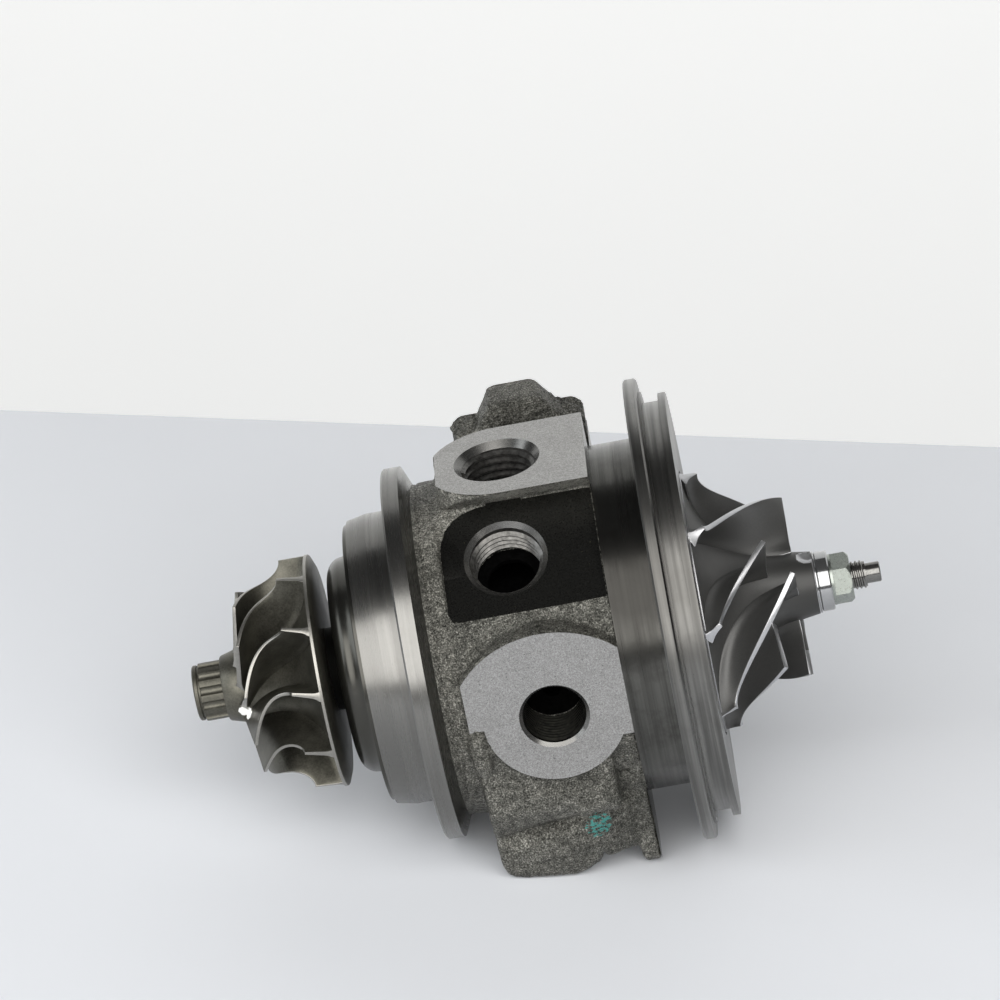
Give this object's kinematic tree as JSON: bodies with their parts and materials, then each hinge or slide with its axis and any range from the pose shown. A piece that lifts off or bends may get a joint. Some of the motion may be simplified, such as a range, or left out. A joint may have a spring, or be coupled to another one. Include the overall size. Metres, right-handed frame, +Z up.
{
  "type": "turbocharger cartridge",
  "caption": "Water-cooled turbocharger cartridge: a cast iron bearing housing with oil and coolant ports that carries a shaft with a bladed turbine wheel and a bladed compressor wheel.",
  "frame": {"origin": "on the shaft axis at the turbine-side face of the clamp flange, where the turbine pilot begins", "axes": "+X along the shaft from the turbine towards the compressor, -Y out of the oil inlet and +Y out of the oil drain, +Z up as the cartridge lies, out of the top coolant port"},
  "size_m": [0.1332, 0.0892, 0.0892],
  "materials": {
    "housing_iron": "cast, machined faces",
    "turbine_alloy": "as cast, machined edges",
    "shield_steel": "dark satin sheet",
    "shaft_steel": "ground",
    "hard_steel": "ground",
    "spring_steel": "oiled",
    "bronze": "machined",
    "plate_aluminium": "turned",
    "seal_rubber": "matt",
    "wheel_aluminium": "dark satin, machined edges",
    "collar_steel": "polished",
    "nut_zinc": "greenish zinc plate"
  },
  "bodies": {
    "housing": {"bearing_housing": "housing_iron", "heat_shield": "shield_steel", "turbine_seal_ring": "spring_steel", "bush_retaining_rings": "spring_steel", "thrust_bearing": "bronze", "thrust_bearing_pins": "hard_steel", "oil_deflector": "spring_steel", "seal_plate": "plate_aluminium", "seal_plate_o_ring": "seal_rubber", "seal_plate_snap_ring": "spring_steel", "compressor_seal_ring": "spring_steel"},
    "rotor": {"rotor_shaft": "shaft_steel", "turbine_wheel": "turbine_alloy", "thrust_ring": "hard_steel", "thrust_sleeve": "hard_steel", "compressor_wheel": "wheel_aluminium", "wheel_shim": "hard_steel", "wheel_collar": "collar_steel", "lock_nut": "nut_zinc"},
    "turbine_bush": {"turbine_side_bush": "bronze"},
    "compressor_bush": {"compressor_side_bush": "bronze"}
  },
  "joints": [
    {"name": "rotor_spin", "type": "hinge", "parent": "housing", "child": "rotor", "pos_m": [0, 0, 0], "axis": [1, 0, 0], "continuous": true},
    {"name": "turbine_bush_spin", "type": "hinge", "parent": "housing", "child": "turbine_bush", "pos_m": [0.0051, 0, 0], "axis": [1, 0, 0], "continuous": true},
    {"name": "compressor_bush_spin", "type": "hinge", "parent": "housing", "child": "compressor_bush", "pos_m": [0.0257, 0, 0], "axis": [1, 0, 0], "continuous": true}
  ]
}
